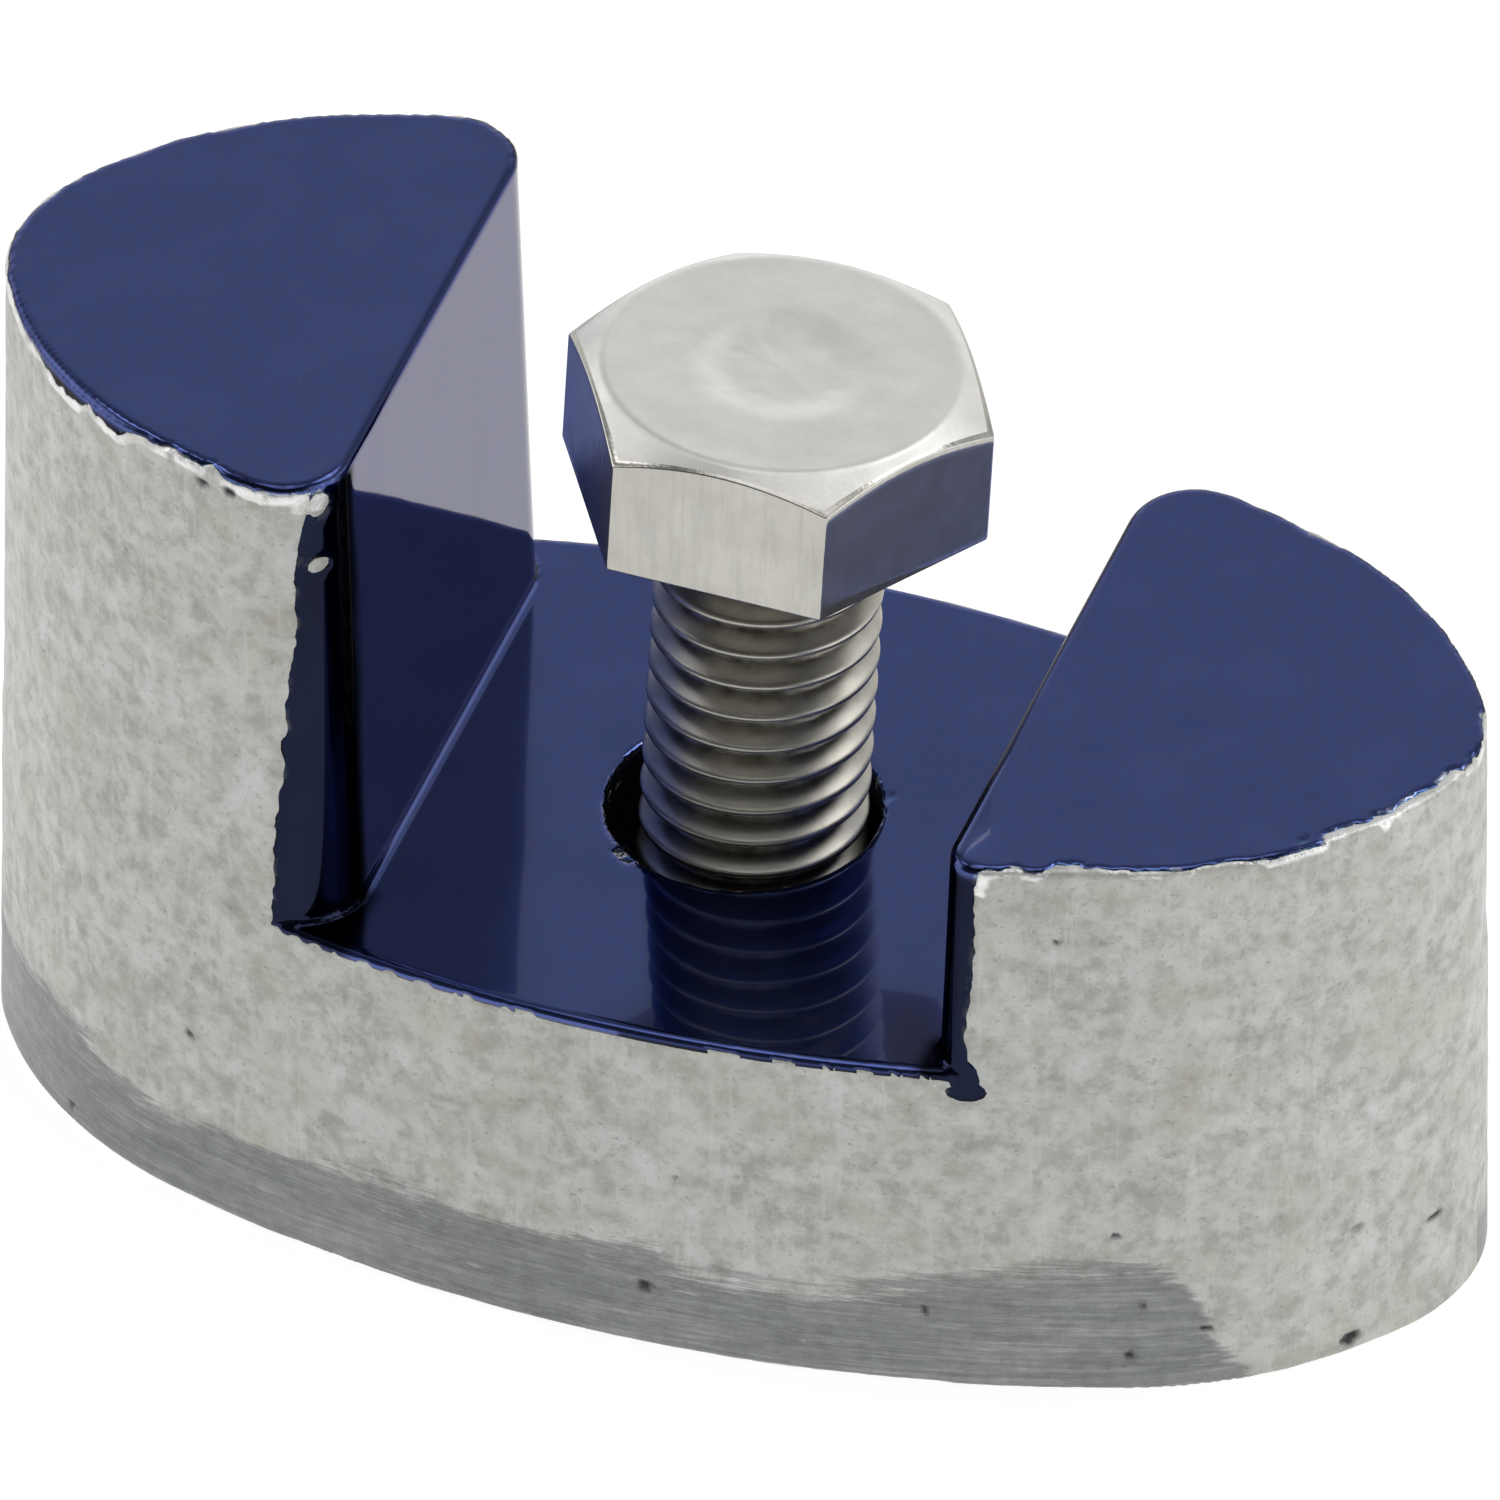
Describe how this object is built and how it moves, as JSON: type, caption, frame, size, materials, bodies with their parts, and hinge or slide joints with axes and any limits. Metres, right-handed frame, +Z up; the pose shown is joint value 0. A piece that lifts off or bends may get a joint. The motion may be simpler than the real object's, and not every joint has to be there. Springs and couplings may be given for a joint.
{
  "type": "c clamp block",
  "caption": "Cast C-shaped saddle clamp block with a tall and a short prong, a dark blue coated notch between them and a loose hex-head screw standing in the hole in the notch floor.",
  "frame": {"origin": "centre of the block's flat base", "axes": "+Z up, +X along the block from the tall prong to the short prong, +Y towards the back; the notch runs through along Y"},
  "size_m": [0.04, 0.02, 0.0243],
  "materials": {
    "cast_metal": "matte",
    "blue_paint": "gloss",
    "bolt_steel": "satin"
  },
  "bodies": {
    "block": {"cast_block": "cast_metal", "blue_coating": "blue_paint"},
    "screw": {"hex_bolt": "bolt_steel"}
  },
  "joints": [
    {"name": "screw_slide", "type": "slide", "parent": "block", "child": "screw", "axis": [0.0399, 0.035, 0.9986], "range_m": [-0.0094, 0.0105]}
  ]
}
